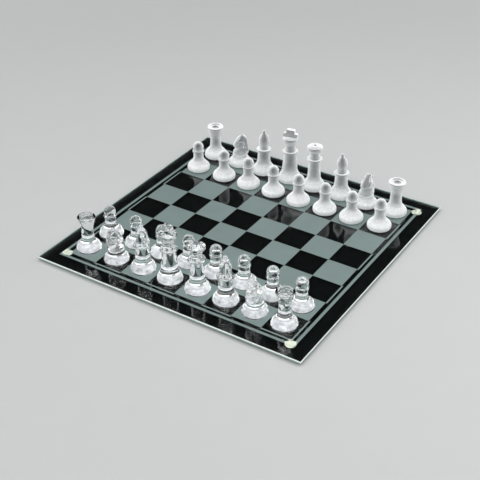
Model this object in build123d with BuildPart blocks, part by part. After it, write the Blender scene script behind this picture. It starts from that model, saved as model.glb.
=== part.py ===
from build123d import *
import os
from math import sqrt

os.makedirs("parts", exist_ok=True)

# Sizes of the base that every chess piece shares, in millimetres
felt_diameter = 24.0
felt_thickness = 0.8
base_diameter = 29.5
base_edge_radius = 2.5
base_side = 1.2
base_rise = 14.0
base_shoulder_pull = 4.0
base_neck_pull = 6.5
collar_thickness = 2.4

# Sizes of the board: a glass sheet with a frosted chequer, on four round feet
squares = 8
square_clearance = 7.75
glass_thickness = 3.0
glass_arris = 0.4
frost_depth = 0.15
frost_neck = 0.5
field_margin = 1.6
line_gap = 3.4
border_line = 3.6
clear_border = 17.4
foot_diameter = 12.5
foot_height = 2.2
foot_rounding = 0.5

# Pawn sizes
pawn_neck_diameter = 13.0
pawn_neck_length = 7.1
pawn_collar_diameter = 15.2
pawn_head_diameter = 14.0
pawn_head_seat = 10.6

# Rook sizes
rook_foot_diameter = 14.8
rook_waist_diameter = 13.4
rook_waist_length = 11.2
rook_flare_length = 13.5
rook_rim_diameter = 21.0
rook_rim_rounding = 1.6
rook_rim_width = 1.4
rook_step_width = 2.2
rook_step_depth = 1.5
rook_bowl_depth = 2.0

# Knight sizes: heights are above the base, reaches and depths are ahead of and behind the axis
knight_base_rise = 11.0
knight_foot_diameter = 19.5
knight_ear_height = 28.3
knight_ear_setback = 2.2
knight_poll_height = 24.6
knight_poll_depth = 8.6
knight_shoulder_height = 4.5
knight_shoulder_depth = 11.8
knight_forehead_swell = 2.2
knight_muzzle_height = 13.2
knight_muzzle_reach = 8.8
knight_chin_drop = 1.8
knight_chin_setback = 1.2
knight_throat_height = 10.0
knight_throat_reach = 2.6
knight_chest_height = 3.2
knight_chest_reach = 9.2
knight_chest_swell = 0.8
knight_neck_width = 15.0
knight_muzzle_width = 9.6
knight_ear_width = 5.6
knight_cheek_diameter = 4.4
knight_cheek_depth = 1.2
knight_cheek_setback = 4.0
knight_cheek_height = 14.0
knight_root = 3.0

# Bishop sizes
bishop_foot_diameter = 17.1
bishop_column_diameter = 14.8
bishop_column_length = 14.2
bishop_collar_diameter = 19.6
bishop_neck_diameter = 12.4
bishop_neck_length = 5.3
bishop_mitre_diameter = 14.1
bishop_mitre_swell = 5.0
bishop_mitre_taper = 11.3
bishop_knob_diameter = 4.6
bishop_knob_length = 1.9

# Queen sizes
queen_foot_diameter = 16.8
queen_column_diameter = 14.2
queen_column_length = 22.5
queen_collar_diameter = 20.3
queen_neck_foot_diameter = 14.0
queen_neck_diameter = 12.9
queen_neck_length = 9.6
queen_cap_flare = 3.6
queen_cap_diameter = 20.2
queen_cap_edge = 1.5
queen_cap_dome = 1.7
queen_dimple_diameter = 3.4
queen_dimple_depth = 1.2

# King sizes
king_foot_diameter = 19.8
king_column_diameter = 15.2
king_column_length = 22.6
king_collar_diameter = 20.2
king_neck_foot_diameter = 15.0
king_neck_diameter = 13.4
king_neck_length = 7.8
king_cap_flare = 7.9
king_cap_diameter = 20.0
king_cap_edge = 1.2
king_cap_dome = 1.6
cross_width = 18.4
cross_arm_height = 5.2
cross_arm_gap = 1.2
cross_post_width = 11.0
cross_head_height = 5.0
cross_thickness = 6.0
cross_corner_radius = 1.2
cross_edge_chamfer = 0.7

# Where the hand-set kings and knights face, in degrees anticlockwise from the board's X axis
piece_turns = {
    "clear_king": 0.0,
    "frosted_king": 12.7,
    "clear_knight_g": 25.0,
    "clear_knight_b": 90.0,
    "frosted_knight_g": 225.0,
    "frosted_knight_b": 265.0,
}

# How far along X and Y the pieces that stand visibly off the middle of their square are shifted
piece_shifts = {
    "clear_rook_h": (-5.0, 0.0),
    "clear_pawn_h": (-2.0, 1.0),
    "clear_knight_g": (0.0, -1.5),
    "clear_rook_a": (0.5, -2.0),
    "clear_pawn_a": (0.0, -2.0),
    "clear_pawn_b": (0.5, -1.5),
    "frosted_rook_h": (-4.0, 5.0),
    "frosted_pawn_h": (-4.0, 1.5),
    "frosted_knight_g": (-2.0, 4.5),
    "frosted_bishop_f": (-1.5, 3.0),
    "frosted_king": (0.5, 3.0),
    "frosted_queen": (-0.5, 2.0),
    "frosted_bishop_c": (1.0, 2.0),
    "frosted_rook_a": (2.0, 2.0),
    "frosted_pawn_d": (0.5, -2.0),
    "frosted_pawn_c": (1.0, -2.5),
    "frosted_pawn_b": (0.5, -2.0),
}

# How far along X and Y each hand-stuck foot sits off the corner of the frosted field
foot_shifts = {"h8": (-2.0, 1.5), "a8": (0.5, -3.5), "a1": (3.5, -0.5), "h1": (0.0, 0.0)}

# Sizes that follow from those above
square_pitch = base_diameter + square_clearance
clear_window = square_pitch - frost_neck
field_side = squares * square_pitch
frost_side = field_side + 2 * field_margin
line_inner = frost_side + 2 * line_gap
line_outer = line_inner + 2 * border_line
board_side = line_outer + 2 * clear_border
board_top = foot_height + glass_thickness
base_radius = base_diameter / 2
base_flat = base_radius - base_edge_radius
base_side_bottom = felt_thickness + base_edge_radius
base_side_top = base_side_bottom + base_side
base_height = base_side_top + base_rise
knight_base_height = base_side_top + knight_base_rise
files = "hgfedcba"
back_rank = ["rook", "knight", "bishop", "king", "queen", "bishop", "knight", "rook"]


def square_centre(column, row):
    middle = (squares - 1) / 2
    return (column - middle) * square_pitch, (row - middle) * square_pitch


# An upright plane through a piece's axis: its first direction points where the piece faces.
def section_plane(x, y, turn=0):
    return Plane(origin=(x, y, board_top), x_dir=(1, 0, 0), z_dir=(0, -1, 0)).rotated((0, 0, turn))


def piece_axis(x, y):
    return Axis((x, y, board_top), (0, 0, 1))


# Draws half of the base from the axis to the foot of the column, inside an open line builder.
# A frosted piece carries its felt in the same solid, a clear piece leaves room for a felt of its own.
def draw_base(column_foot_diameter, top, felt_joined):
    foot_radius = column_foot_diameter / 2
    if felt_joined:
        felt_radius = felt_diameter / 2
        Polyline((0, 0), (felt_radius, 0), (felt_radius, felt_thickness), (base_flat, felt_thickness))
    else:
        Line((0, felt_thickness), (base_flat, felt_thickness))
    edge = TangentArc((base_flat, felt_thickness), (base_radius, base_side_bottom), tangent=(1, 0))
    side = Line(edge @ 1, (base_radius, base_side_top))
    Bezier(
        side @ 1,
        (base_radius, base_side_top + base_shoulder_pull),
        (foot_radius, top - base_neck_pull),
        (foot_radius, top),
    )


# Draws a round-edged disc standing out from the column, and returns the height of its top.
def draw_collar(below_diameter, above_diameter, collar_diameter, bottom):
    rounding = collar_thickness / 2
    reach = collar_diameter / 2 - rounding
    top = bottom + collar_thickness
    Line((below_diameter / 2, bottom), (reach, bottom))
    ThreePointArc((reach, bottom), (reach + rounding, bottom + rounding), (reach, top))
    Line((reach, top), (above_diameter / 2, top))
    return top


def start_height(felt_joined):
    return 0 if felt_joined else felt_thickness


def make_pawn(x, y, felt_joined):
    neck_radius = pawn_neck_diameter / 2
    head_radius = pawn_head_diameter / 2
    seat_radius = pawn_head_seat / 2
    collar_bottom = base_height + pawn_neck_length
    with BuildPart() as pawn:
        with BuildSketch(section_plane(x, y)):
            with BuildLine():
                draw_base(pawn_neck_diameter, base_height, felt_joined)
                Line((neck_radius, base_height), (neck_radius, collar_bottom))
                collar_top = draw_collar(
                    pawn_neck_diameter, pawn_head_seat, pawn_collar_diameter, collar_bottom
                )
                head_middle = collar_top + sqrt(head_radius**2 - seat_radius**2)
                head_top = head_middle + head_radius
                ThreePointArc((seat_radius, collar_top), (head_radius, head_middle), (0, head_top))
                Line((0, head_top), (0, start_height(felt_joined)))
            make_face()
        revolve(axis=piece_axis(x, y))
    return pawn.part


def make_rook(x, y, felt_joined):
    waist_radius = rook_waist_diameter / 2
    rim_radius = rook_rim_diameter / 2
    waist = base_height + rook_waist_length
    rim_bottom = waist + rook_flare_length
    rim_top = rim_bottom + rook_rim_rounding
    dish_radius = rim_radius - rook_rim_rounding - rook_rim_width
    bowl_radius = dish_radius - rook_step_width
    step = rim_top - rook_step_depth
    bowl_rim = step - rook_step_depth
    bowl_bottom = bowl_rim - rook_bowl_depth
    with BuildPart() as rook:
        with BuildSketch(section_plane(x, y)):
            with BuildLine():
                draw_base(rook_foot_diameter, base_height, felt_joined)
                Polyline(
                    (rook_foot_diameter / 2, base_height), (waist_radius, waist), (rim_radius, rim_bottom)
                )
                TangentArc(
                    (rim_radius, rim_bottom), (rim_radius - rook_rim_rounding, rim_top), tangent=(0, 1)
                )
                Polyline(
                    (rim_radius - rook_rim_rounding, rim_top),
                    (dish_radius, rim_top),
                    (dish_radius, step),
                    (bowl_radius, step),
                    (bowl_radius, bowl_rim),
                )
                TangentArc((0, bowl_bottom), (bowl_radius, bowl_rim), tangent=(1, 0))
                Line((0, bowl_bottom), (0, start_height(felt_joined)))
            make_face()
        revolve(axis=piece_axis(x, y))
    return rook.part


def make_bishop(x, y, felt_joined):
    column_radius = bishop_column_diameter / 2
    neck_radius = bishop_neck_diameter / 2
    mitre_radius = bishop_mitre_diameter / 2
    knob_radius = bishop_knob_diameter / 2
    collar_bottom = base_height + bishop_column_length
    with BuildPart() as bishop:
        with BuildSketch(section_plane(x, y)):
            with BuildLine():
                draw_base(bishop_foot_diameter, base_height, felt_joined)
                Line((bishop_foot_diameter / 2, base_height), (column_radius, collar_bottom))
                collar_top = draw_collar(
                    bishop_column_diameter, bishop_neck_diameter, bishop_collar_diameter, collar_bottom
                )
                neck_top = collar_top + bishop_neck_length
                mitre_widest = neck_top + bishop_mitre_swell
                mitre_top = mitre_widest + bishop_mitre_taper
                knob_shoulder = mitre_top + bishop_knob_length
                knob_top = knob_shoulder + knob_radius
                Line((neck_radius, collar_top), (neck_radius, neck_top))
                TangentArc((mitre_radius, mitre_widest), (neck_radius, neck_top), tangent=(0, -1))
                TangentArc((mitre_radius, mitre_widest), (knob_radius, mitre_top), tangent=(0, 1))
                Line((knob_radius, mitre_top), (knob_radius, knob_shoulder))
                TangentArc((knob_radius, knob_shoulder), (0, knob_top), tangent=(0, 1))
                Line((0, knob_top), (0, start_height(felt_joined)))
            make_face()
        revolve(axis=piece_axis(x, y))
    return bishop.part


def make_queen(x, y, felt_joined):
    column_radius = queen_column_diameter / 2
    neck_radius = queen_neck_diameter / 2
    edge_reach = queen_cap_diameter / 2 - queen_cap_edge
    dimple_radius = queen_dimple_diameter / 2
    collar_bottom = base_height + queen_column_length
    with BuildPart() as queen:
        with BuildSketch(section_plane(x, y)):
            with BuildLine():
                draw_base(queen_foot_diameter, base_height, felt_joined)
                Line((queen_foot_diameter / 2, base_height), (column_radius, collar_bottom))
                collar_top = draw_collar(
                    queen_column_diameter, queen_neck_foot_diameter, queen_collar_diameter, collar_bottom
                )
                neck_top = collar_top + queen_neck_length
                edge_bottom = neck_top + queen_cap_flare
                edge_top = edge_bottom + 2 * queen_cap_edge
                dome_top = edge_top + queen_cap_dome
                Line((queen_neck_foot_diameter / 2, collar_top), (neck_radius, neck_top))
                TangentArc((neck_radius, neck_top), (edge_reach, edge_bottom), tangent=(0, 1))
                ThreePointArc(
                    (edge_reach, edge_bottom),
                    (edge_reach + queen_cap_edge, edge_bottom + queen_cap_edge),
                    (edge_reach, edge_top),
                )
                TangentArc((dimple_radius, dome_top), (edge_reach, edge_top), tangent=(1, 0))
                TangentArc((0, dome_top - queen_dimple_depth), (dimple_radius, dome_top), tangent=(1, 0))
                Line((0, dome_top - queen_dimple_depth), (0, start_height(felt_joined)))
            make_face()
        revolve(axis=piece_axis(x, y))
    return queen.part


def make_king(x, y, turn, felt_joined):
    column_radius = king_column_diameter / 2
    neck_radius = king_neck_diameter / 2
    edge_reach = king_cap_diameter / 2 - king_cap_edge
    collar_bottom = base_height + king_column_length
    collar_top = collar_bottom + collar_thickness
    neck_top = collar_top + king_neck_length
    edge_bottom = neck_top + king_cap_flare
    edge_top = edge_bottom + 2 * king_cap_edge
    dome_top = edge_top + king_cap_dome
    arm_bottom = edge_top + cross_arm_gap
    arm_top = arm_bottom + cross_arm_height
    cross_top = arm_top + cross_head_height
    cross_plane = section_plane(x, y, turn)
    with BuildPart() as cross:
        with BuildSketch(cross_plane) as cross_outline:
            with Locations((0, (arm_bottom + arm_top) / 2)):
                Rectangle(cross_width, cross_arm_height)
            with Locations((0, (edge_bottom + cross_top) / 2)):
                Rectangle(cross_post_width, cross_top - edge_bottom)
            fillet(cross_outline.vertices(), cross_corner_radius)
        extrude(amount=cross_thickness / 2, both=True)
        chamfer(cross.faces().filter_by(cross_plane).edges(), cross_edge_chamfer)
    with BuildPart() as king:
        with BuildSketch(section_plane(x, y)):
            with BuildLine():
                draw_base(king_foot_diameter, base_height, felt_joined)
                Line((king_foot_diameter / 2, base_height), (column_radius, collar_bottom))
                draw_collar(
                    king_column_diameter, king_neck_foot_diameter, king_collar_diameter, collar_bottom
                )
                Polyline(
                    (king_neck_foot_diameter / 2, collar_top),
                    (neck_radius, neck_top),
                    (edge_reach, edge_bottom),
                )
                ThreePointArc(
                    (edge_reach, edge_bottom),
                    (edge_reach + king_cap_edge, edge_bottom + king_cap_edge),
                    (edge_reach, edge_top),
                )
                TangentArc((0, dome_top), (edge_reach, edge_top), tangent=(1, 0))
                Line((0, dome_top), (0, start_height(felt_joined)))
            make_face()
        revolve(axis=piece_axis(x, y))
        add(cross.part)
    return king.part


def make_knight(x, y, turn, felt_joined):
    foot_radius = knight_foot_diameter / 2
    ear = (-knight_ear_setback, knight_base_height + knight_ear_height)
    poll = (-knight_poll_depth, knight_base_height + knight_poll_height)
    shoulder = (-knight_shoulder_depth, knight_base_height + knight_shoulder_height)
    muzzle = (knight_muzzle_reach, knight_base_height + knight_muzzle_height)
    chin = (knight_muzzle_reach - knight_chin_setback, muzzle[1] - knight_chin_drop)
    throat = (knight_throat_reach, knight_base_height + knight_throat_height)
    chest = (knight_chest_reach, knight_base_height + knight_chest_height)
    cheek = (-knight_cheek_setback, knight_base_height + knight_cheek_height)
    root = knight_base_height - knight_root
    side = section_plane(x, y, turn)
    front = section_plane(x, y, turn + 90)
    with BuildPart() as head:
        with BuildSketch(side):
            with BuildLine():
                SagittaArc(ear, muzzle, knight_forehead_swell)
                Polyline(muzzle, chin, throat)
                SagittaArc(throat, chest, knight_chest_swell)
                Polyline(
                    chest,
                    (foot_radius, knight_base_height),
                    (foot_radius, root),
                    (-foot_radius, root),
                    (-foot_radius, knight_base_height),
                    shoulder,
                    poll,
                    ear,
                )
            make_face()
        extrude(amount=knight_neck_width / 2, both=True)
        with BuildSketch(front.offset(-base_radius)):
            with BuildLine():
                outline = Polyline(
                    (0, root),
                    (knight_neck_width / 2, root),
                    (knight_neck_width / 2, shoulder[1]),
                    (knight_muzzle_width / 2, muzzle[1]),
                    (knight_ear_width / 2, ear[1]),
                    (0, ear[1]),
                )
                mirror(outline, about=Plane.YZ)
            make_face()
        extrude(amount=2 * base_radius, mode=Mode.INTERSECT)
        with BuildSketch(side.offset(knight_muzzle_width / 2 - knight_cheek_depth)):
            with Locations(cheek):
                Circle(knight_cheek_diameter / 2)
        extrude(amount=base_radius, mode=Mode.SUBTRACT)
        with BuildSketch(side.offset(knight_cheek_depth - knight_muzzle_width / 2)):
            with Locations(cheek):
                Circle(knight_cheek_diameter / 2)
        extrude(amount=-base_radius, mode=Mode.SUBTRACT)
    with BuildPart() as knight:
        with BuildSketch(section_plane(x, y)):
            with BuildLine():
                draw_base(knight_foot_diameter, knight_base_height, felt_joined)
                Polyline(
                    (foot_radius, knight_base_height),
                    (0, knight_base_height),
                    (0, start_height(felt_joined)),
                )
            make_face()
        revolve(axis=piece_axis(x, y))
        add(head.part)
    return knight.part


# The board's glass sheet, with the etched areas cut to their depth
with BuildSketch(Plane.XY.offset(board_top)) as frosted_outline:
    Rectangle(frost_side, frost_side)
    for row in range(squares):
        for column in range(squares):
            if (row + column) % 2 == 1:
                with Locations(square_centre(column, row)):
                    Rectangle(clear_window, clear_window, mode=Mode.SUBTRACT)

with BuildSketch(Plane.XY.offset(board_top)) as line_outline:
    Rectangle(line_outer, line_outer)
    Rectangle(line_inner, line_inner, mode=Mode.SUBTRACT)

with BuildPart() as glass_plate:
    with BuildSketch(Plane.XY.offset(foot_height)):
        Rectangle(board_side, board_side)
    extrude(amount=glass_thickness)
    rim_faces = glass_plate.faces().filter_by(Axis.Z)
    chamfer(rim_faces.edges(), glass_arris)
    extrude(frosted_outline.sketch, amount=-frost_depth, mode=Mode.SUBTRACT)
    extrude(line_outline.sketch, amount=-frost_depth, mode=Mode.SUBTRACT)
glass_plate.part.label = "glass_plate"
export_step(glass_plate.part, "parts/glass_plate.step")

with BuildPart() as frosted_field:
    extrude(frosted_outline.sketch, amount=-frost_depth)
frosted_field.part.label = "frosted_field"
export_step(frosted_field.part, "parts/frosted_field.step")

with BuildPart() as frosted_line:
    extrude(line_outline.sketch, amount=-frost_depth)
frosted_line.part.label = "frosted_line"
export_step(frosted_line.part, "parts/frosted_line.step")

# Four round feet under the corners of the frosted field
foot_corners = {"h8": (-1, -1), "a8": (1, -1), "a1": (1, 1), "h1": (-1, 1)}
for corner, (side_x, side_y) in foot_corners.items():
    shift_x, shift_y = foot_shifts[corner]
    foot_x = side_x * frost_side / 2 + shift_x
    foot_y = side_y * frost_side / 2 + shift_y
    with BuildPart() as foot:
        with BuildSketch(Plane.XY):
            with Locations((foot_x, foot_y)):
                Circle(foot_diameter / 2)
        extrude(amount=foot_height)
        fillet(foot.edges().group_by(Axis.Z)[0], foot_rounding)
    foot.part.label = "board_foot_" + corner
    export_step(foot.part, "parts/board_foot_" + corner + ".step")

# The two armies: the clear pieces stand on the first rows, the frosted ones on the last
makers = {"rook": make_rook, "bishop": make_bishop, "queen": make_queen, "pawn": make_pawn}
turned_makers = {"king": make_king, "knight": make_knight}
for glass, back_row, pawn_row in (("clear", 0, 1), ("frosted", squares - 1, squares - 2)):
    felt_joined = glass == "frosted"
    for row in (back_row, pawn_row):
        for column in range(squares):
            kind = back_rank[column] if row == back_row else "pawn"
            name = glass + "_" + kind
            if kind not in ("king", "queen"):
                name = name + "_" + files[column]
            square_x, square_y = square_centre(column, row)
            shift_x, shift_y = piece_shifts.get(name, (0, 0))
            x = square_x + shift_x
            y = square_y + shift_y
            if kind in turned_makers:
                piece = turned_makers[kind](x, y, piece_turns[name], felt_joined)
            else:
                piece = makers[kind](x, y, felt_joined)
            piece.label = name
            export_step(piece, "parts/" + name + ".step")
            if felt_joined:
                continue
            with BuildPart() as felt:
                with BuildSketch(Plane.XY.offset(board_top)):
                    with Locations((x, y)):
                        Circle(felt_diameter / 2)
                extrude(amount=felt_thickness)
            felt.part.label = name + "_felt"
            export_step(felt.part, "parts/" + name + "_felt.step")
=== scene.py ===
import bpy
from math import acos, cos, hypot, pi, radians, sin, tan
from mathutils import Matrix, Vector


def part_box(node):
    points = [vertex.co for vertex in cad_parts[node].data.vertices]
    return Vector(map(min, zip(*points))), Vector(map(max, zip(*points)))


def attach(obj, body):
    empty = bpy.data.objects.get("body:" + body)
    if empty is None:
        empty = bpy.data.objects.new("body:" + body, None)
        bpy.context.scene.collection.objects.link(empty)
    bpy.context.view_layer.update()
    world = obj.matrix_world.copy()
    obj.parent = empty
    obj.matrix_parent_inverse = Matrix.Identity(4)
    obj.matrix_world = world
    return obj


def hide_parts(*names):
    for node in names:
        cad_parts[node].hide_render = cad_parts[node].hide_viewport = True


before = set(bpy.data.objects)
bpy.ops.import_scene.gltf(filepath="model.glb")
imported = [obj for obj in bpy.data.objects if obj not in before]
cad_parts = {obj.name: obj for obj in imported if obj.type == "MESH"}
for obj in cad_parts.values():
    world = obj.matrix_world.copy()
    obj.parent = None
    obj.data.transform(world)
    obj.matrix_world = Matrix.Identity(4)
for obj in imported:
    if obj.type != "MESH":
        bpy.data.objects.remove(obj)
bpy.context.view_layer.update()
mm = 0.001


def middleOf(node):
    # the middle of a node's underside
    low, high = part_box(node)
    return Vector(((low[0] + high[0]) / 2, (low[1] + high[1]) / 2, low[2]))


footNodes = [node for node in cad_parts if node.startswith("board_foot")]
footPlaces = [middleOf(node) for node in footNodes]
print("frame loaded:", len(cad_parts), "nodes")


# shader sockets that work in Python expressions
class Wire:
    def __init__(self, tree, socket=None):
        self.tree = tree
        self.socket = socket

    def add(self, kind, settings=None, inputs=None, output=0):
        node = self.tree.nodes.new(kind)
        for name, value in (settings or {}).items():
            setattr(node, name, value)
        for name, value in (inputs or {}).items():
            if isinstance(value, Wire):
                self.tree.links.new(value.socket, node.inputs[name])
            else:
                node.inputs[name].default_value = value
        return Wire(self.tree, node.outputs[output] if node.outputs else None)

    def maths(self, operation, first, second):
        return self.add("ShaderNodeMath", {"operation": operation}, {0: first, 1: second})

    def __add__(self, other):
        return self.maths("ADD", self, other)

    def __radd__(self, other):
        return self.maths("ADD", other, self)

    def __sub__(self, other):
        return self.maths("SUBTRACT", self, other)

    def __rsub__(self, other):
        return self.maths("SUBTRACT", other, self)

    def __mul__(self, other):
        return self.maths("MULTIPLY", self, other)

    def __rmul__(self, other):
        return self.maths("MULTIPLY", other, self)


def newMaterial(name):
    material = bpy.data.materials.new(name)
    material.use_nodes = True
    material.node_tree.nodes.clear()
    return material, Wire(material.node_tree)


def mixColours(wire, factor, low, high):
    # sockets 6 and 7 of a Mix node are its two colours, and its third output is their mix
    return wire.add("ShaderNodeMix", {"data_type": "RGBA"}, {0: factor, 6: low, 7: high}, output=2)


def mixShaders(wire, factor, first, second):
    return wire.add("ShaderNodeMixShader", inputs={0: factor, 1: first, 2: second})


def between(low, high, share):
    # two numbers, and a share that changes over the surface
    return low + (high - low) * share


def weigh(first, second, share):
    # two patterns, and the second's share as a number
    return first * (1 - share) + second * share


def remap(wire, value, start, end, low=0.0, high=1.0, soft=False):
    settings = {"interpolation_type": "SMOOTHSTEP" if soft else "LINEAR"}
    return wire.add("ShaderNodeMapRange", settings, {0: value, 1: start, 2: end, 3: low, 4: high})


def objectPlace(wire):
    return wire.add("ShaderNodeTexCoord", output="Object")


def heightOnObject(wire):
    return wire.add("ShaderNodeSeparateXYZ", inputs={0: objectPlace(wire)}, output="Z")


def noise(wire, size, detail=3.0, roughness=0.5):
    inputs = {"Vector": objectPlace(wire), "Scale": 1 / (size * mm), "Detail": detail, "Roughness": roughness}
    return wire.add("ShaderNodeTexNoise", inputs=inputs)


def rings(wire, size, detail=2.0):
    # noise that changes with height and hardly round a piece
    squeeze = (0.05, 0.05, 1)
    flat = wire.add("ShaderNodeVectorMath", {"operation": "MULTIPLY"}, {0: objectPlace(wire), 1: squeeze})
    inputs = {"Vector": flat, "Scale": 1 / (size * mm), "Detail": detail}
    return wire.add("ShaderNodeTexNoise", inputs=inputs)


def bump(wire, height, depth):
    return wire.add("ShaderNodeBump", inputs={"Height": height, "Distance": depth * mm, "Strength": 1.0})


def finishMaterial(wire, shader):
    wire.add("ShaderNodeOutputMaterial", inputs={"Surface": shader})


def letLampsThrough(wire, shader, tint):
    # glass casts a thin shadow: rays from lamps pass it with only its tint
    clear = wire.add("ShaderNodeBsdfTransparent", inputs={"Color": tint})
    shadowRay = wire.add("ShaderNodeLightPath", output="Is Shadow Ray")
    return mixShaders(wire, shadowRay, shader, clear)


# pressed clear glass of one army: faint flow lines and a breath of handling marks
clearGlassLook = {"tint": (0.965, 0.985, 0.98, 1), "shade": (0.93, 0.955, 0.95, 1), "ior": 1.5,
                  "flow": 7.0, "ring": 2.2, "ringShare": 0.4, "reliefDepth": 0.05,
                  "marks": 5.0, "marksFrom": 0.45, "marksTo": 0.75, "smooth": 0.015, "smudged": 0.07}
carvedGlassLook = dict(clearGlassLook, smooth=0.16, smudged=0.34)


def makeClearGlass(name, look):
    material, wire = newMaterial(name)
    flow = noise(wire, look["flow"], detail=1.0)
    relief = weigh(flow, rings(wire, look["ring"], detail=1.0), look["ringShare"])
    marks = noise(wire, look["marks"], detail=4.0, roughness=0.65)
    smear = remap(wire, marks, look["marksFrom"], look["marksTo"], look["smooth"], look["smudged"])
    glass = wire.add("ShaderNodeBsdfPrincipled", inputs={
        "Base Color": look["tint"], "Roughness": smear, "IOR": look["ior"], "Transmission Weight": 1.0,
        "Normal": bump(wire, relief, look["reliefDepth"])})
    finishMaterial(wire, letLampsThrough(wire, glass, look["shade"]))
    return material


# etched white glass of the other army: a fine grain, and clouds where the acid bit less
frostedGlassLook = {"pale": (0.36, 0.375, 0.38, 1), "grey": (0.17, 0.18, 0.185, 1), "ior": 1.45,
                    "cloud": 2.4, "ring": 1.9, "ringShare": 0.4, "grain": 0.45, "ringRelief": 0.65,
                    "reliefDepth": 0.16, "dull": 0.5, "silky": 0.34, "biteFrom": 0.4, "biteTo": 0.6,
                    "white": (0.97, 0.975, 0.985, 1), "chalk": (0.84, 0.86, 0.86, 1), "matt": 0.6,
                    "thinnest": 0.88, "core": 0.03, "rimStart": 0.03, "rimEnd": 0.58,
                    "paintedGlowLow": 11.0, "paintedGlowHigh": 33.0, "paintedGlow": 0.86, "shade": (0.6, 0.61, 0.61, 1)}


def makeFrostedGlass(look):
    # seen square on it is a clouded glass; towards its outline the white etched skin takes over, partly the
    # etching's own whiteness and partly painted rim light
    material, wire = newMaterial("frosted glass")
    ring = rings(wire, look["ring"])
    cloud = weigh(noise(wire, look["cloud"], detail=4.0), ring, look["ringShare"])
    grain = noise(wire, look["grain"], detail=2.0, roughness=0.6)
    relief = bump(wire, weigh(grain, ring, look["ringRelief"]), look["reliefDepth"])
    core = wire.add("ShaderNodeBsdfPrincipled", inputs={
        "Base Color": mixColours(wire, cloud, look["grey"], look["pale"]), "IOR": look["ior"],
        "Roughness": between(look["silky"], look["dull"], cloud), "Transmission Weight": 1.0,
        "Normal": relief})
    bite = remap(wire, cloud, look["biteFrom"], look["biteTo"])
    skin = wire.add("ShaderNodeBsdfPrincipled", inputs={
        "Base Color": mixColours(wire, bite, look["chalk"], look["white"]), "Roughness": look["matt"],
        "IOR": look["ior"], "Normal": relief})
    # the white towards the outline is partly painted rim light
    facing = wire.add("ShaderNodeLayerWeight", inputs={"Blend": 0.5}, output="Facing")
    rim = remap(wire, facing, look["rimStart"], look["rimEnd"], look["core"], 1.0)
    # painted glow: lower on the piece the white skin covers more, standing in for the white felt's light
    # through the base
    low, high = look["paintedGlowLow"] * mm, look["paintedGlowHigh"] * mm
    paintedGlow = remap(wire, heightOnObject(wire), high, low, 0.0, look["paintedGlow"], soft=True)
    cover = wire.maths("MAXIMUM", rim, paintedGlow) * between(look["thinnest"], 1, bite)
    finishMaterial(wire, letLampsThrough(wire, mixShaders(wire, cover, core, skin), look["shade"]))
    return material


# the board's polished glass: clear above; its underside has a near-black tint, painted shade which keeps the
# chequer dark on a pale floor
boardGlassLook = {"tint": (0.9, 0.95, 0.93, 1), "shade": (0.86, 0.92, 0.9, 1), "ior": 1.52,
                  "marks": 14.0, "marksFrom": 0.5, "marksTo": 0.8, "smooth": 0.012, "smudged": 0.05,
                  "ripple": 40.0, "rippleDepth": 0.012, "mirror": (0.4, 0.4, 0.4, 1)}
# the near-black tint of the underside is painted shade
boardUndersideShadeLook = dict(boardGlassLook, tint=(0.01, 0.012, 0.012, 1), shade=(0.015, 0.018, 0.018, 1))


def makeBoardGlass(name, look):
    material, wire = newMaterial(name)
    marks = noise(wire, look["marks"], detail=4.0, roughness=0.7)
    smear = remap(wire, marks, look["marksFrom"], look["marksTo"], look["smooth"], look["smudged"])
    ripple = noise(wire, look["ripple"], detail=1.0)
    glass = wire.add("ShaderNodeBsdfPrincipled", inputs={
        "Base Color": look["tint"], "Roughness": smear, "IOR": look["ior"], "Transmission Weight": 1.0,
        "Specular Tint": look["mirror"], "Normal": bump(wire, ripple, look["rippleDepth"])})
    finishMaterial(wire, letLampsThrough(wire, glass, look["shade"]))
    return material


# the etched squares and lines: grey green, evenly matt, a little cloudy
boardFrostLook = {"pale": (0.165, 0.218, 0.212, 1), "deep": (0.118, 0.162, 0.157, 1), "ior": 1.45,
                  "cloud": 22.0, "grain": 0.5, "grainShare": 0.2, "grainDepth": 0.04,
                  "dull": 0.62, "silky": 0.5, "shade": (0.3, 0.34, 0.33, 1),
                  "overFoot": (0.66, 0.69, 0.58, 1), "footInner": 5.355, "footOuter": 6.93}


def makeBoardFrost(look):
    material, wire = newMaterial("board frosting")
    cloud = noise(wire, look["cloud"], detail=5.0, roughness=0.55)
    grain = noise(wire, look["grain"], detail=2.0, roughness=0.6)
    colour = mixColours(wire, weigh(cloud, grain, look["grainShare"]), look["deep"], look["pale"])
    # a foot under the glass shows as a pale spot
    place = objectPlace(wire)
    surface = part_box("frosted_field")[1][2]
    for spot in footPlaces:
        above = (spot.x, spot.y, surface)
        fromFoot = wire.add("ShaderNodeVectorMath", {"operation": "DISTANCE"}, {0: place, 1: above}, "Value")
        overFoot = remap(wire, fromFoot, look["footOuter"] * mm, look["footInner"] * mm, soft=True)
        colour = mixColours(wire, overFoot, colour, look["overFoot"])
    frost = wire.add("ShaderNodeBsdfPrincipled", inputs={
        "Base Color": colour, "Roughness": between(look["silky"], look["dull"], cloud), "IOR": look["ior"],
        "Normal": bump(wire, grain, look["grainDepth"])})
    finishMaterial(wire, letLampsThrough(wire, frost, look["shade"]))
    return material


# the plate's ground and polished edge: green glass with a pale band along its top, painted light where light
# comes out of the glass
boardEdgeLook = {"paintedLight": (0.92, 0.98, 0.95, 1), "green": (0.3, 0.45, 0.4, 1), "low": 3.2, "high": 4.4,
                 "streak": 3.0, "waver": 0.6, "silky": 0.15, "dull": 0.35, "ior": 1.52, "through": 0.1}


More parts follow.
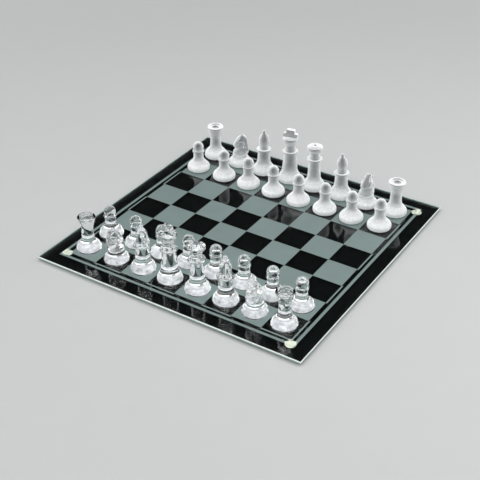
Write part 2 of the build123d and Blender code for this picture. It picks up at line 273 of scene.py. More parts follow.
def makeBoardEdge(look):
    material, wire = newMaterial("board edge")
    streak = noise(wire, look["streak"], detail=3.0)
    # painted light: above a wavering height the edge turns pale
    height = heightOnObject(wire) + (streak - 0.5) * (look["waver"] * mm)
    paintedGlow = remap(wire, height, look["low"] * mm, look["high"] * mm, soft=True)
    edge = wire.add("ShaderNodeBsdfPrincipled", inputs={
        "Base Color": mixColours(wire, paintedGlow, look["green"], look["paintedLight"]),
        "Roughness": between(look["silky"], look["dull"], streak),
        "IOR": look["ior"], "Transmission Weight": look["through"]})
    finishMaterial(wire, edge)
    return material


# white felt under every piece: matted fibres, slightly uneven
feltLook = {"light": (0.86, 0.86, 0.88, 1), "dark": (0.66, 0.66, 0.69, 1), "fibre": 0.6, "tuft": 3.0,
            "tuftShare": 0.3, "depth": 0.18, "silky": 0.85, "dull": 0.95, "sheen": 0.3}


def makeFelt(look):
    material, wire = newMaterial("felt")
    fibre = noise(wire, look["fibre"], detail=5.0, roughness=0.7)
    tuft = noise(wire, look["tuft"], detail=2.0)
    nap = weigh(fibre, tuft, look["tuftShare"])
    cloth = wire.add("ShaderNodeBsdfPrincipled", inputs={
        "Base Color": mixColours(wire, nap, look["dark"], look["light"]),
        "Roughness": between(look["silky"], look["dull"], tuft),
        "Sheen Weight": look["sheen"], "Normal": bump(wire, fibre, look["depth"])})
    finishMaterial(wire, cloth)
    return material


# the felt's upper face as it shows through the glass, darker in random patches: painted shade for the dark
# that the glass base refracts
feltShadeLook = {"feltTone": (0.66, 0.66, 0.69, 1), "paintedShade": (0.27, 0.27, 0.29, 1), "patch": 5.0, "speck": 1.4,
            "speckShare": 0.25, "shadeFrom": 0.36, "shadeTo": 0.66, "silky": 0.5, "dull": 0.8}


def makeFeltShadedTop(look):
    material, wire = newMaterial("felt top with painted shade")
    patch = noise(wire, look["patch"], detail=3.0)
    speck = noise(wire, look["speck"], detail=3.0, roughness=0.6)
    # painted shade: darker patches over the felt's own tone
    shadeShare = remap(wire, weigh(patch, speck, look["speckShare"]), look["shadeFrom"], look["shadeTo"])
    cloth = wire.add("ShaderNodeBsdfPrincipled", inputs={
        "Base Color": mixColours(wire, shadeShare, look["feltTone"], look["paintedShade"]),
        "Roughness": between(look["silky"], look["dull"], speck)})
    finishMaterial(wire, cloth)
    return material


# milky soft vinyl of the feet
footLook = {"milky": (0.83, 0.85, 0.75, 1), "yellowed": (0.74, 0.75, 0.6, 1), "cloud": 6.0, "depth": 0.05,
            "silky": 0.35, "dull": 0.5, "milkiness": 0.3, "lightReach": (0.003, 0.003, 0.002)}


def makeFootVinyl(look):
    material, wire = newMaterial("foot vinyl")
    cloud = noise(wire, look["cloud"], detail=3.0)
    vinyl = wire.add("ShaderNodeBsdfPrincipled", inputs={
        "Base Color": mixColours(wire, cloud, look["yellowed"], look["milky"]),
        "Roughness": between(look["silky"], look["dull"], cloud), "Subsurface Weight": look["milkiness"],
        "Subsurface Radius": look["lightReach"], "Subsurface Scale": 1.0,
        "Normal": bump(wire, cloud, look["depth"])})
    finishMaterial(wire, vinyl)
    return material


clearGlass = makeClearGlass("clear glass", clearGlassLook)
carvedGlass = makeClearGlass("carved clear glass", carvedGlassLook)
frostedGlass = makeFrostedGlass(frostedGlassLook)
boardGlass = makeBoardGlass("board glass", boardGlassLook)
boardUndersideShade = makeBoardGlass("board underside shade", boardUndersideShadeLook)
boardFrost = makeBoardFrost(boardFrostLook)
boardEdge = makeBoardEdge(boardEdgeLook)
felt = makeFelt(feltLook)
feltShadedTop = makeFeltShadedTop(feltShadeLook)
footVinyl = makeFootVinyl(footLook)
print("materials made")


# modelling helpers, all in millimetres
hair = 0.01  # closer than this counts as the same place
bendShare = 0.49  # the most that a bend takes of each side beside it
flatGuard = 0.15  # from a bend to the point that keeps the flat beside it flat


def deselectAll():
    if bpy.context.mode != "OBJECT":
        bpy.ops.object.mode_set(mode="OBJECT")
    bpy.ops.object.select_all(action="DESELECT")


def selectFaces(piece, test):
    # leaves the piece in edit mode with only the faces that pass the test selected
    deselectAll()
    piece.select_set(True)
    bpy.context.view_layer.objects.active = piece
    bpy.ops.object.mode_set(mode="EDIT")
    bpy.ops.mesh.select_mode(type="FACE")
    bpy.ops.mesh.select_all(action="DESELECT")
    bpy.ops.object.mode_set(mode="OBJECT")
    for face in piece.data.polygons:
        face.select = test(face)
    bpy.ops.object.mode_set(mode="EDIT")


def softOutline(corners, steps=6):
    # corners are (across, up, rounding): each rounding is a smooth bend between its two neighbours
    points = []
    for index, (across, up, rounding) in enumerate(corners):
        if rounding == 0 or index in (0, len(corners) - 1):
            points.append((across, up))
            continue
        before, after = corners[index - 1], corners[index + 1]
        inward = Vector((before[0] - across, before[1] - up))
        onward = Vector((after[0] - across, after[1] - up))
        halfTurn = acos(max(-1, min(1, inward.normalized().dot(onward.normalized())))) / 2
        reach = min(rounding / tan(halfTurn), inward.length * bendShare, onward.length * bendShare)
        corner = Vector((across, up))
        start = corner + inward.normalized() * reach
        end = corner + onward.normalized() * reach
        if inward.length - reach > 1:
            points.append(tuple(start + inward.normalized() * flatGuard))
        for step in range(steps + 1):
            t = step / steps
            points.append(tuple((1 - t) ** 2 * start + 2 * t * (1 - t) * corner + t ** 2 * end))
        if onward.length - reach > 1:
            points.append(tuple(end + onward.normalized() * flatGuard))
    return points


def skirtCurve(low, high, lowPull, highPull, steps=16):
    # one curve that leaves its lower end and meets its upper end upright
    aboveLow = low[0], low[1] + lowPull
    belowHigh = high[0], high[1] - highPull
    pulls = [Vector(point) for point in (low, aboveLow, belowHigh, high)]
    points = []
    for n in range(steps + 1):
        t = n / steps
        shares = (1 - t) ** 3, 3 * (1 - t) ** 2 * t, 3 * (1 - t) * t ** 2, t ** 3
        across, up = sum((share * pull for share, pull in zip(shares, pulls)), Vector((0, 0)))
        points.append((across, up, 0))
    return points


def quarterArc(radius, rise, start, steps=8):
    # from upright at its side to level at its middle
    angles = [n / steps * pi / 2 for n in range(steps + 1)]
    return [(radius * cos(angle), start + rise * sin(angle), 0) for angle in angles]


def drawOutline(name, points):
    # one vertex, pulled from point to point in the upright plane
    deselectAll()
    first = Vector((points[0][0], 0, points[0][1])) * mm
    bpy.ops.mesh.primitive_plane_add(size=mm, location=(0, 0, 0))
    bpy.context.object.name = name
    bpy.ops.object.mode_set(mode="EDIT")
    bpy.ops.mesh.select_mode(type="VERT")
    bpy.ops.mesh.select_all(action="SELECT")
    bpy.ops.mesh.merge(type="CENTER")
    bpy.ops.transform.translate(value=first)
    for (across, up), (nextAcross, nextUp) in zip(points, points[1:]):
        step = Vector((nextAcross - across, 0, nextUp - up)) * mm
        bpy.ops.mesh.extrude_vertices_move(TRANSFORM_OT_translate={"value": step})
    bpy.ops.mesh.select_all(action="SELECT")
    return bpy.context.object


def spinOutline(name, points, steps=80):
    piece = drawOutline(name, points)
    bpy.ops.mesh.spin(steps=steps, angle=2 * pi, center=(0, 0, 0), axis=(0, 0, 1))
    bpy.ops.mesh.select_all(action="SELECT")
    bpy.ops.mesh.remove_doubles(threshold=hair * mm)
    bpy.ops.mesh.normals_make_consistent(inside=False)
    bpy.ops.object.mode_set(mode="OBJECT")
    return piece


def slabOutline(name, points, thickness):
    # a closed outline filled and drawn out to both sides of the upright plane
    piece = drawOutline(name, points)
    bpy.ops.mesh.edge_face_add()
    bpy.ops.transform.translate(value=(0, -thickness / 2 * mm, 0))
    bpy.ops.mesh.extrude_region_move(TRANSFORM_OT_translate={"value": (0, thickness * mm, 0)})
    bpy.ops.mesh.select_all(action="SELECT")
    bpy.ops.mesh.normals_make_consistent(inside=False)
    bpy.ops.object.mode_set(mode="OBJECT")
    return piece


def applyModifier(piece, kind, **settings):
    modifier = piece.modifiers.new(kind.lower(), kind)
    for name, value in settings.items():
        setattr(modifier, name, value)
    bpy.context.view_layer.objects.active = piece
    bpy.ops.object.modifier_apply(modifier=modifier.name)


def fuse(piece, other):
    applyModifier(piece, "BOOLEAN", operation="UNION", solver="EXACT", object=other)
    bpy.data.objects.remove(other)


def smooth(piece, angle):
    # edges that turn by more than the angle stay sharp
    deselectAll()
    piece.select_set(True)
    bpy.context.view_layer.objects.active = piece
    bpy.ops.object.shade_smooth_by_angle(angle=radians(angle))


# every piece's base: a flared skirt on a rounded foot, over a felt
base = {"radius": 14.75, "foot": 0.8, "edge": 1.6, "side": 2.1, "rise": 14.0,
        "shoulderPull": 4.0, "neckPull": 6.5, "smoothAngle": 50}
baseSideTop = base["foot"] + base["edge"] + base["side"]
baseTop = baseSideTop + base["rise"]
collarThickness = 2.4


def baseOutline(columnRadius, top=baseTop):
    shoulder = base["radius"], baseSideTop
    skirt = skirtCurve(shoulder, (columnRadius, top), base["shoulderPull"], base["neckPull"])
    return [(0, base["foot"], 0), (base["radius"], base["foot"], base["edge"])] + skirt


def collarOutline(below, above, radius, bottom, fillet=0.5):
    # a round-edged disc with small fillets where it leaves the column
    top = bottom + collarThickness
    rounding = collarThickness / 2
    disc = [(radius, bottom, rounding), (radius, top, rounding)]
    return [(below, bottom, fillet)] + disc + [(above, top, fillet)]


pawn = {"neck": 6.5, "neckLength": 7.1, "collar": 7.6, "head": 7.0, "seat": 5.3, "headSteps": 18}


def makePawn(size):
    collarBottom = baseTop + size["neckLength"]
    collarTop = collarBottom + collarThickness
    headMiddle = collarTop + (size["head"] ** 2 - size["seat"] ** 2) ** 0.5
    lowest = acos(-(headMiddle - collarTop) / size["head"])
    angles = [lowest * (1 - n / size["headSteps"]) for n in range(1, size["headSteps"] + 1)]
    ball = [(size["head"] * sin(angle), headMiddle + size["head"] * cos(angle), 0) for angle in angles]
    corners = baseOutline(size["neck"])
    corners += collarOutline(size["neck"], size["seat"], size["collar"], collarBottom)
    return spinOutline("pawn", softOutline(corners + ball))


rook = {"foot": 7.4, "waist": 6.7, "waistLength": 11.2, "waistBend": 18.0, "flare": 13.5, "flareBend": 2.5,
        "rim": 10.5, "rimRounding": 1.6, "rimWidth": 1.4, "step": 2.2, "stepDepth": 1.5, "stepEdge": 0.5,
        "stepCorner": 0.4, "bowlDepth": 2.0}


def makeRook(size):
    waist = baseTop + size["waistLength"]
    rimBottom = waist + size["flare"]
    rimTop = rimBottom + size["rimRounding"]
    dish = size["rim"] - size["rimRounding"] - size["rimWidth"]
    bowl = dish - size["step"]
    step = rimTop - size["stepDepth"]
    bowlRim = step - size["stepDepth"]
    corners = baseOutline(size["foot"])
    corners += [(size["waist"], waist, size["waistBend"]), (size["rim"], rimBottom, size["flareBend"]),
                (size["rim"], rimTop, size["rimRounding"]), (dish, rimTop, size["stepEdge"]),
                (dish, step, size["stepCorner"]), (bowl, step, size["stepEdge"])]
    corners += quarterArc(bowl, -size["bowlDepth"], bowlRim)
    return spinOutline("rook", softOutline(corners))


bishop = {"foot": 8.55, "column": 7.4, "columnLength": 14.2, "collar": 9.8, "neck": 6.2, "neckLength": 5.3,
          "neckBend": 2.5, "mitre": 7.05, "swell": 5.0, "taper": 11.3, "mitreSteps": 14,
          "knob": 2.3, "knobLength": 1.9, "knobBend": 0.8}


def makeBishop(size):
    collarBottom = baseTop + size["columnLength"]
    neckTop = collarBottom + collarThickness + size["neckLength"]
    widest = neckTop + size["swell"]
    mitreTop = widest + size["taper"]
    knobMiddle = mitreTop + size["knobLength"]
    # the mitre's side is one arc that is upright at its widest
    halfWidth = size["mitre"] - size["knob"]
    bend = (halfWidth ** 2 + size["taper"] ** 2) / (2 * halfWidth)
    sweep = acos(1 - halfWidth / bend)
    angles = [sweep * n / size["mitreSteps"] for n in range(size["mitreSteps"])]
    corners = baseOutline(size["foot"])
    corners += collarOutline(size["column"], size["neck"], size["collar"], collarBottom)
    corners.append((size["neck"], neckTop, size["neckBend"]))
    corners += [(size["mitre"] - bend + bend * cos(angle), widest + bend * sin(angle), 0) for angle in angles]
    corners.append((size["knob"], mitreTop, size["knobBend"]))
    corners += quarterArc(size["knob"], size["knob"], knobMiddle)
    return spinOutline("bishop", softOutline(corners))


queen = {"foot": 8.4, "column": 7.1, "columnLength": 22.5, "collar": 10.15, "neckFoot": 7.0, "neck": 6.45,
         "neckLength": 9.6, "neckBend": 3.0, "flare": 3.6, "cap": 10.1, "capEdge": 1.5, "capUnder": 1.4,
         "dome": 1.7, "domeFlat": 3.0, "domeBend": 2.5, "dimple": 1.7, "dimpleDepth": 2.0, "dimpleEdge": 0.4,
         "dimpleSteps": 6}


def makeQueen(size):
    collarBottom = baseTop + size["columnLength"]
    neckTop = collarBottom + collarThickness + size["neckLength"]
    edgeBottom = neckTop + size["flare"]
    edgeTop = edgeBottom + 2 * size["capEdge"]
    domeTop = edgeTop + size["dome"]
    domeEdge = size["dimple"] + size["domeFlat"]
    pit = quarterArc(size["dimple"], -size["dimpleDepth"], domeTop, size["dimpleSteps"])
    corners = baseOutline(size["foot"])
    corners += collarOutline(size["column"], size["neckFoot"], size["collar"], collarBottom)
    corners += [(size["neck"], neckTop, size["neckBend"]), (size["cap"], edgeBottom, size["capUnder"]),
                (size["cap"], edgeTop, size["capEdge"]), (domeEdge, domeTop, size["domeBend"]),
                (size["dimple"], domeTop, size["dimpleEdge"])]
    return spinOutline("queen", softOutline(corners + pit[1:]))


king = {"foot": 9.9, "column": 7.6, "columnLength": 22.6, "collar": 10.1, "neckFoot": 7.5, "neck": 6.7,
        "neckLength": 7.8, "neckBend": 6.0, "flare": 7.9, "cap": 10.0, "capEdge": 1.2, "dome": 1.6,
        "domeFlat": 5.0, "domeBend": 2.0, "crossWidth": 18.4, "armHeight": 5.2, "armGap": 1.2,
        "postWidth": 11.0, "headHeight": 5.0, "thickness": 6.0, "corner": 1.3, "underArm": 0.6,
        "overArm": 0.9, "bevel": 0.9, "bevelSteps": 3, "bevelAngle": 60}


def makeKing(size):
    collarBottom = baseTop + size["columnLength"]
    neckTop = collarBottom + collarThickness + size["neckLength"]
    edgeBottom = neckTop + size["flare"]
    edgeTop = edgeBottom + 2 * size["capEdge"]
    domeTop = edgeTop + size["dome"]
    corners = baseOutline(size["foot"])
    corners += collarOutline(size["column"], size["neckFoot"], size["collar"], collarBottom)
    corners += [(size["neck"], neckTop, size["neckBend"]), (size["cap"], edgeBottom, size["capEdge"]),
                (size["cap"], edgeTop, size["capEdge"]), (size["domeFlat"], domeTop, size["domeBend"]),
                (0, domeTop, 0)]
    body = spinOutline("king", softOutline(corners))
    # the cross: its right half, mirrored for its left
    armBottom = edgeTop + size["armGap"]
    armTop = armBottom + size["armHeight"]
    crossTop = armTop + size["headHeight"]
    post, arm, soft = size["postWidth"] / 2, size["crossWidth"] / 2, size["corner"]
    right = [(post, edgeBottom, soft), (post, armBottom, size["underArm"]), (arm, armBottom, soft),
             (arm, armTop, soft), (post, armTop, size["overArm"]), (post, crossTop, soft)]
    left = [(-across, up, bend) for across, up, bend in reversed(right)]
    outline = [(0, edgeBottom, 0)] + right + left + [(-0.5, edgeBottom, 0)]  # open: filling closes it
    cross = slabOutline("cross", softOutline(outline, steps=4), size["thickness"])
    applyModifier(cross, "BEVEL", width=size["bevel"] * mm, segments=size["bevelSteps"],
                  limit_method="ANGLE", angle_limit=radians(size["bevelAngle"]))
    fuse(body, cross)
    return body


# the horse: rings from its foot to its ears, each (height above the base, back, front, half width),
# and forms on its sides, each (place ahead and up, lift off the side, radii, slope in degrees)
knight = {"rise": 11.0, "foot": 9.75, "plinth": 0.8, "plinthInset": 0.5, "plinthEdge": 0.4,
          "voxel": 0.3, "polish": 0.5, "firstPasses": 3, "lastPasses": 2, "fullness": 2.15, "ringPoints": 56,
          "rings": ((-3.0, -8.8, 8.6, 8.4), (0.9, -9.0, 8.4, 8.3), (1.8, -10.8, 9.2, 8.8),
                    (3.6, -11.5, 9.3, 8.7), (5.2, -11.6, 8.5, 8.2), (7.2, -11.4, 6.4, 7.4),
                    (9.0, -11.1, 3.6, 6.6), (10.0, -10.9, 2.1, 6.4), (10.4, -10.8, 4.8, 6.6),
                    (10.9, -10.7, 8.2, 6.8), (11.9, -10.5, 9.1, 6.9), (13.2, -10.4, 9.3, 6.9),
                    (15.4, -10.1, 8.7, 6.5), (18.0, -9.7, 7.5, 5.9), (20.4, -9.2, 6.0, 5.2),
                    (22.4, -8.9, 4.4, 4.6), (24.4, -8.3, 2.6, 3.9), (26.0, -6.6, 0.8, 3.1),
                    (27.4, -4.3, -0.9, 2.2), (28.2, -2.9, -1.7, 1.3)),
          "raised": {"jaw": ((-0.4, 15.6), -0.5, (4.2, 1.3, 4.4), 0),
                     "eye": ((2.9, 20.1), 0.1, (1.5, 0.9, 1.1), 0),
                     "brow": ((2.4, 22.2), 0.0, (2.9, 0.85, 0.75), 50),
                     "ear": ((-3.0, 25.2), -0.9, (1.2, 1.0, 3.0), -8)},
          "hollows": {"cheek": ((-4.4, 13.0), 0.2, (1.7, 2.9, 2.3), -12),
                      "nostril": ((7.4, 14.0), 0.2, (1.1, 1.0, 0.7), 0)},
          "locks": 9, "lockFrom": 6.6, "lockStep": 1.95, "lockAhead": 2.9, "lockLift": 0.1,
          "lock": (3.2, 0.8, 1.05), "lockSlope": 58,
          "parting": ((-2.6, 0, 28.5), (3.6, 0.7, 1.6)), "mouth": ((9.3, 0, 12.1), (3.0, 7.0, 0.5))}


def addEllipsoid(place, radii, slope=0):
    deselectAll()
    bpy.ops.mesh.primitive_uv_sphere_add(segments=20, ring_count=12, radius=mm, location=Vector(place) * mm,
                                         rotation=(0, radians(slope), 0), scale=radii)
    bpy.ops.object.transform_apply(location=True, rotation=True, scale=True)
    return bpy.context.object


def ringAt(size, up):
    # the horse's back, front and half width at a height, between its two nearest rings
    for low, high in zip(size["rings"], size["rings"][1:]):
        if low[0] <= up <= high[0]:
            share = (up - low[0]) / (high[0] - low[0])
            return [first + (second - first) * share for first, second in zip(low[1:], high[1:])]


def onBothSides(size, form):
    (ahead, up), lift, radii, slope = form
    behind, front, half = ringAt(size, up)
    fromMiddle = abs(ahead - (behind + front) / 2) / ((front - behind) / 2)
    aside = half * (1 - fromMiddle ** size["fullness"]) ** (1 / size["fullness"]) + lift
    return [addEllipsoid((ahead, side * aside, up), radii, slope) for side in (-1, 1)]


def joinAll(pieces):
    deselectAll()
    for piece in pieces:
        piece.select_set(True)
    bpy.context.view_layer.objects.active = pieces[0]
    bpy.ops.object.join()
    return pieces[0]


def remesh(piece, size):
    applyModifier(piece, "REMESH", mode="VOXEL", voxel_size=size["voxel"] * mm)


def makeHorse(size):
    # the lowest ring is drawn as a full oval, then drawn up from ring to ring
    power = 2 / size["fullness"]
    oval = []
    for n in range(size["ringPoints"]):
        turn = 2 * pi * n / size["ringPoints"]
        oval.append((abs(cos(turn)) ** power * (1 if cos(turn) > 0 else -1),
                     abs(sin(turn)) ** power * (1 if sin(turn) > 0 else -1)))
    horse = drawOutline("horse", oval)
    bpy.ops.mesh.edge_face_add()
    bpy.ops.transform.rotate(value=pi / 2, orient_axis="X", center_override=(0, 0, 0))
    up, behind, front, half = size["rings"][0]
    bpy.ops.transform.resize(value=((front - behind) / 2, half, 1), center_override=(0, 0, 0))
    bpy.ops.transform.translate(value=((front + behind) / 2 * mm, 0, up * mm))
    for low, high in zip(size["rings"], size["rings"][1:]):
        lowMiddle, middle = (low[1] + low[2]) / 2, (high[1] + high[2]) / 2
        bpy.ops.mesh.extrude_region_move(
            TRANSFORM_OT_translate={"value": ((middle - lowMiddle) * mm, 0, (high[0] - low[0]) * mm)})
        bpy.ops.transform.resize(value=((high[2] - high[1]) / (low[2] - low[1]), high[3] / low[3], 1),
                                 center_override=(middle * mm, 0, high[0] * mm))
    bpy.ops.mesh.select_all(action="SELECT")
    bpy.ops.mesh.normals_make_consistent(inside=False)
    bpy.ops.object.mode_set(mode="OBJECT")
    remesh(horse, size)
    applyModifier(horse, "SMOOTH", factor=size["polish"], iterations=size["firstPasses"])
    raised = []
    for form in size["raised"].values():
        raised += onBothSides(size, form)
    for lock in range(size["locks"]):
        up = size["lockFrom"] + size["lockStep"] * lock
        ahead = ringAt(size, up)[0] + size["lockAhead"]
        raised += onBothSides(size, ((ahead, up), size["lockLift"], size["lock"], size["lockSlope"]))
    joinAll([horse] + raised)
    remesh(horse, size)
    hollows = []
    for form in size["hollows"].values():
        hollows += onBothSides(size, form)
    hollows += [addEllipsoid(*size["parting"]), addEllipsoid(*size["mouth"])]
    for hollow in hollows:
        applyModifier(horse, "BOOLEAN", operation="DIFFERENCE", solver="EXACT", object=hollow)
        bpy.data.objects.remove(hollow)
    remesh(horse, size)
    applyModifier(horse, "SMOOTH", factor=size["polish"], iterations=size["lastPasses"])
    return horse


def makeKnight(size):
    horseFoot = baseSideTop + size["rise"]
    plinth = horseFoot + size["plinth"]
    corners = baseOutline(size["foot"], horseFoot)
    corners += [(size["foot"] - size["plinthInset"], plinth, size["plinthEdge"]), (0, plinth, 0)]
    body = spinOutline("knight", softOutline(corners))
    horse = makeHorse(size)
    horse.location.z = horseFoot * mm
    deselectAll()
    horse.select_set(True)
    bpy.context.view_layer.objects.active = horse
    bpy.ops.object.transform_apply(location=True)
    fuse(body, horse)
    return body


# felt pad under a piece: glued in its middle, a hair into the glass, and loose round its edge
pad = {"radius": 12.0, "thickness": 0.72, "rounding": 0.3, "glued": 9.5, "gluedTop": 0.83,
       "slope": 0.6, "slopeFoot": 0.2, "slopeTop": 0.1, "smoothAngle": 40}


def makePad(size):
    corners = [(0, 0, 0), (size["radius"], 0, size["rounding"] / 2),
               (size["radius"], size["thickness"], size["rounding"]),
               (size["glued"] + size["slope"], size["thickness"], size["slopeFoot"]),
               (size["glued"], size["gluedTop"], size["slopeTop"]), (0, size["gluedTop"], 0)]
    return spinOutline("pad", softOutline(corners))


# the small foot under the board
foot = {"radius": 6.25, "height": 2.2, "rounding": 0.5, "topRounding": 0.3, "dish": 0.25, "dishRadius": 3.75,
        "dishBend": 0.4, "lip": 5.0, "lipBend": 0.3, "smoothAngle": 40}


def makeFoot(size):
    # its underside is dished like a suction pad
    corners = [(0, size["dish"], 0), (size["dishRadius"], size["dish"], size["dishBend"]),
               (size["lip"], 0, size["lipBend"]), (size["radius"], 0, size["rounding"]),
               (size["radius"], size["height"], size["topRounding"]), (0, size["height"], 0)]
    return spinOutline("foot", softOutline(corners))


def copyTo(master, name, place, turn=0):
    deselectAll()
    master.select_set(True)
    bpy.context.view_layer.objects.active = master
    bpy.ops.object.duplicate(linked=False)
    piece = bpy.context.object
    piece.name = name
    piece.location = place
    piece.rotation_euler.z = radians(turn)
    bpy.ops.object.transform_apply(location=True, rotation=True)
    return piece


# degrees that each king and knight is turned, anticlockwise from above: at 0 a horse looks along X
turns = {"clear_king": 0, "frosted_king": 12.7, "clear_knight_g": 25, "clear_knight_b": 90,
         "frosted_knight_g": 225, "frosted_knight_b": 265}
makers = {"pawn": (makePawn, pawn), "rook": (makeRook, rook), "knight": (makeKnight, knight),
          "bishop": (makeBishop, bishop), "queen": (makeQueen, queen), "king": (makeKing, king)}
chessNodes = [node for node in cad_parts
              if node.split("_")[1] in makers and not node.endswith("_felt")]
padMaster = makePad(pad)
smooth(padMaster, pad["smoothAngle"])
for material in (felt, feltShadedTop):
    padMaster.data.materials.append(material)
# the upper face, seen through the glass, takes the felt with painted shade
for face in padMaster.data.polygons:
    face.material_index = int(face.center.z / mm > pad["gluedTop"] - 2 * hair)
for kind, (make, size) in makers.items():
    master = make(size)
    smooth(master, base["smoothAngle"])
    for node in chessNodes:
        army, word = node.split("_")[:2]
        if word != kind:
            continue
        seat = node + "_felt" if army == "clear" else node
        place = middleOf(seat)
        piece = copyTo(master, node + "_glass", place, turns.get(node, 0))
        piece.data.materials.append(clearGlass if army == "clear" else frostedGlass)
        if army == "clear" and kind == "knight":
            piece.data.materials.append(carvedGlass)
            carvedFrom = place.z + (baseSideTop + size["rise"] + size["plinth"]) * mm
            for face in piece.data.polygons:
                face.material_index = int(face.center.z > carvedFrom)
        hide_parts(node)
        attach(piece, node)
        army + "_glass"
        under = copyTo(padMaster, node + "_pad", place)
        if army == "clear":
            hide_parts(seat)
        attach(under, node)
    bpy.data.objects.remove(master)
    print(kind, "modelled")
bpy.data.objects.remove(padMaster)

footMaster = makeFoot(foot)
smooth(footMaster, foot["smoothAngle"])
footMaster.data.materials.append(footVinyl)
for node, place in zip(footNodes, footPlaces):
    piece = copyTo(footMaster, node + "_vinyl", place)
    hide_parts(node)
    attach(piece, "board")
bpy.data.objects.remove(footMaster)
print("feet modelled")


# the board: one plate of glass, its frosting let in flush with its upper face
board = {"side": 350.0, "thickness": 3.0, "top": 5.2, "arris": 0.4, "arrisSteps": 2, "squares": 8,
         "pitch": 37.25, "neck": 0.5, "margin": 1.6, "gap": 3.4, "line": 3.6, "frost": 0.15,
         "cutter": 2.0, "cutterPoints": 40}


def isClearWindow(size, across, along):
    inner = size["squares"] * size["pitch"] / 2
    column = int((across + inner) // size["pitch"])
    row = int((along + inner) // size["pitch"])
    if (row + column) % 2 == 0:
        return False
    reach = (size["pitch"] - size["neck"]) / 2
    fromColumn = across - (column + 0.5) * size["pitch"] + inner
    fromRow = along - (row + 0.5) * size["pitch"] + inner
    return abs(fromColumn) < reach and abs(fromRow) < reach


def reachOf(face):
    # how far a face's middle is from the board's, across or along, whichever is more
    return max(abs(face.center.x), abs(face.center.y)) / mm


def anyFace(face):
    return True


def makeBoard(size):
    inner = size["squares"] * size["pitch"] / 2
    fieldEdge = inner + size["margin"]
    lineInner = fieldEdge + size["gap"]
    lineOuter = lineInner + size["line"]
    bottom = size["top"] - size["thickness"]

    def onTop(face):
        return face.center.z / mm > size["top"] - hair

    def isField(face):
        clear = isClearWindow(size, face.center.x / mm, face.center.y / mm)
        return onTop(face) and reachOf(face) < fieldEdge and not clear

    def isLine(face):
        return onTop(face) and lineInner < reachOf(face) < lineOuter

    deselectAll()
    bpy.ops.mesh.primitive_cube_add(size=mm, location=(0, 0, (size["top"] + bottom) / 2 * mm),
                                    scale=(size["side"], size["side"], size["thickness"]))
    plate = bpy.context.object
    plate.name = "board_plate"
    bpy.ops.object.transform_apply(location=True, scale=True)
    applyModifier(plate, "BEVEL", width=size["arris"] * mm, segments=size["arrisSteps"])
    # rings cut in the underside, where the feet sit
    bpy.ops.object.mode_set(mode="EDIT")
    bpy.ops.mesh.select_mode(type="FACE")
    for place in footPlaces:
        bpy.ops.mesh.select_all(action="DESELECT")
        bpy.ops.mesh.primitive_cylinder_add(
            vertices=size["cutterPoints"], radius=foot["radius"] * mm, depth=size["cutter"] * mm,
            location=(place.x, place.y, bottom * mm))
        bpy.ops.mesh.intersect(mode="SELECT_UNSELECT", separate_mode="NONE", solver="EXACT")
    bpy.ops.mesh.select_mode(type="VERT")
    bpy.ops.mesh.select_all(action="DESELECT")
    bpy.ops.object.mode_set(mode="OBJECT")
    for point in plate.data.vertices:  # the cutters' ends go
        point.select = abs(abs(point.co.z / mm - bottom) - size["cutter"] / 2) < hair
    bpy.ops.object.mode_set(mode="EDIT")
    bpy.ops.mesh.delete(type="VERT")
    # the chequer's lines, cut across the upper face
    lines = []
    for n in range(1, size["squares"]):
        lines += [n * size["pitch"] - inner + side * size["neck"] / 2 for side in (-1, 1)]
    for edge in (inner - size["neck"] / 2, fieldEdge, lineInner, lineOuter):
        lines += [-edge, edge]
    for place in lines:
        for direction in (Vector((1, 0, 0)), Vector((0, 1, 0))):
            selectFaces(plate, onTop)
            bpy.ops.mesh.bisect(plane_co=direction * place * mm, plane_no=direction)
    frosted = []
    for name, test in (("board_frosted_field", isField), ("board_frosted_line", isLine)):
        selectFaces(plate, test)
        bpy.ops.mesh.duplicate()
        bpy.ops.mesh.separate(type="SELECTED")
        bpy.ops.object.mode_set(mode="OBJECT")
        sheet = [piece for piece in bpy.context.selected_objects if piece != plate][0]
        sheet.name = name
        selectFaces(sheet, anyFace)
        sink = (0, 0, (hair - size["frost"]) * mm)  # a hair thinner than its pocket
        bpy.ops.mesh.extrude_region_move(TRANSFORM_OT_translate={"value": sink})
        bpy.ops.mesh.select_all(action="SELECT")
        bpy.ops.mesh.normals_make_consistent(inside=False)
        bpy.ops.object.mode_set(mode="OBJECT")
        selectFaces(plate, test)
        pocket = (0, 0, -size["frost"] * mm)
        bpy.ops.mesh.extrude_region_move(TRANSFORM_OT_translate={"value": pocket})
        bpy.ops.object.mode_set(mode="OBJECT")
        sheet.data.materials.append(boardFrost)
        frosted.append(sheet)
    finishes = [boardGlass, boardEdge, boardUndersideShade]
    for material in finishes:
        plate.data.materials.append(material)
    for face in plate.data.polygons:
        footSpot = any(hypot(face.center.x - place.x, face.center.y - place.y) < mm for place in footPlaces)
        if reachOf(face) > size["side"] / 2 - size["arris"]:
            face.material_index = finishes.index(boardEdge)
        # the underside, save where the feet sit, takes the near-black tint: painted shade
        elif face.center.z / mm < bottom + hair and not footSpot:
            face.material_index = finishes.index(boardUndersideShade)
    return plate, frosted


plate, (frostedField, frostedLine) = makeBoard(board)
boardPieces = ((plate, "glass_plate", "board_glass"), (frostedField, "frosted_field", "frosted_surface"),
               (frostedLine, "frosted_line", "frosted_surface"))
for piece, node, slot in boardPieces:
    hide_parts(node)
    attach(piece, "board")
print("board modelled")


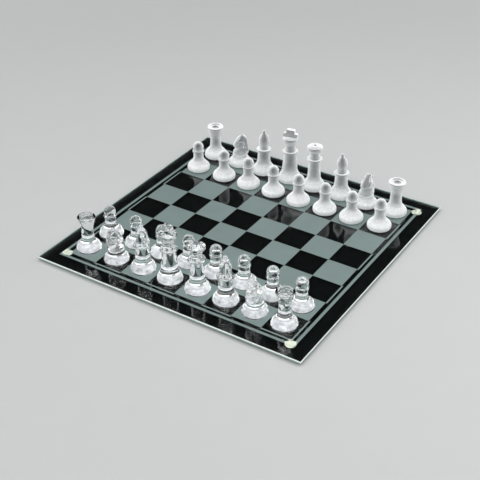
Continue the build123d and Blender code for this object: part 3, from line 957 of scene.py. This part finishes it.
# floor and lamps: places, sides and distances in metres, the floor's grain in millimetres, lamps in watts
studio = {"floor": (0.46, 0.47, 0.47, 1), "floorShade": 0.97, "floorGrain": 30.0, "floorRoughness": 0.8,
          "floorSide": 30.0, "haze": (0.56, 0.57, 0.567, 1), "hazeFrom": 0.55, "hazeTo": 1.3, "world": 0.02,
          "lamps": {"overhead": ((0.3, 0.1, 1.8), 2.0, 8.8), "front": ((0.5, -1.35, 1.25), 2.2, 20.5),
                    "left": ((-1.4, -0.85, 1.15), 2.3, 31.5), "right": ((0.75, 0.15, 0.6), 0.8, 3.0),
                    "backRight": ((0.95, 1.1, 0.95), 1.8, 11.0), "backHigh": ((-0.3, 0.8, 1.7), 1.2, 10.5)}}


def makeStudio(size):
    deselectAll()
    bpy.ops.mesh.primitive_plane_add(size=size["floorSide"], location=(0, 0, 0))
    floor = bpy.context.object
    floor.name = "floor"
    material, wire = newMaterial("floor")
    grain = noise(wire, size["floorGrain"], detail=2.0)
    shaded = tuple(size["floorShade"] * part for part in size["floor"][:3]) + (1,)
    colour = mixColours(wire, grain, size["floor"], shaded)
    near = wire.add("ShaderNodeBsdfPrincipled", inputs={
        "Base Color": colour, "Roughness": size["floorRoughness"]})
    # past the lamps the floor keeps its tone, for the eye and in the glass, without lighting anything
    far = wire.add("ShaderNodeEmission", inputs={"Color": size["haze"]})
    away = wire.add("ShaderNodeVectorMath", {"operation": "LENGTH"}, {0: objectPlace(wire)}, output="Value")
    distant = remap(wire, away, size["hazeFrom"], size["hazeTo"], soft=True)
    seen = wire.add("ShaderNodeLightPath", output="Is Camera Ray")
    for ray in ("Is Glossy Ray", "Is Transmission Ray"):
        seen = wire.maths("MAXIMUM", seen, wire.add("ShaderNodeLightPath", output=ray))
    finishMaterial(wire, mixShaders(wire, distant * seen, near, far))
    floor.data.materials.append(material)
    world = bpy.data.worlds.new("studio")
    world.use_nodes = True
    background = world.node_tree.nodes["Background"]
    background.inputs["Color"].default_value = (1, 1, 1, 1)
    background.inputs["Strength"].default_value = size["world"]
    bpy.context.scene.world = world
    for name, (place, side, watts) in size["lamps"].items():
        deselectAll()
        bpy.ops.object.light_add(type="AREA", location=place)
        lamp = bpy.context.object
        lamp.name = name
        lamp.data.shape = "SQUARE"
        lamp.data.size = side
        lamp.data.energy = watts
        lamp.rotation_euler = (-Vector(place)).to_track_quat("-Z", "Y").to_euler()


# the photograph's angle: degrees round, above and of roll, then distance, slides and lens in millimetres
view = {"round": 32.67, "above": 33.62, "roll": 0.166, "distance": 1234.2, "right": -7.8, "up": -10.75,
        "lens": 77.04}


def makeCamera(size):
    swing, above, roll = radians(size["round"]), radians(size["above"]), radians(size["roll"])
    back = Vector((sin(swing) * cos(above), -cos(swing) * cos(above), sin(above)))
    right = Vector((cos(swing), sin(swing), 0))
    up = back.cross(right)
    data = bpy.data.cameras.new("camera")
    data.lens = size["lens"]
    camera = bpy.data.objects.new("camera", data)
    bpy.context.collection.objects.link(camera)
    place = Vector((0, 0, board["top"])) + back * size["distance"] + right * size["right"] + up * size["up"]
    across = right * cos(roll) - up * sin(roll)
    upward = right * sin(roll) + up * cos(roll)
    turned = Matrix((across, upward, back)).transposed().to_4x4()
    camera.matrix_world = Matrix.Translation(place * mm) @ turned
    bpy.context.scene.camera = camera


makeStudio(studio)
makeCamera(view)
bpy.context.scene.view_settings.view_transform = "Standard"
print("studio ready")
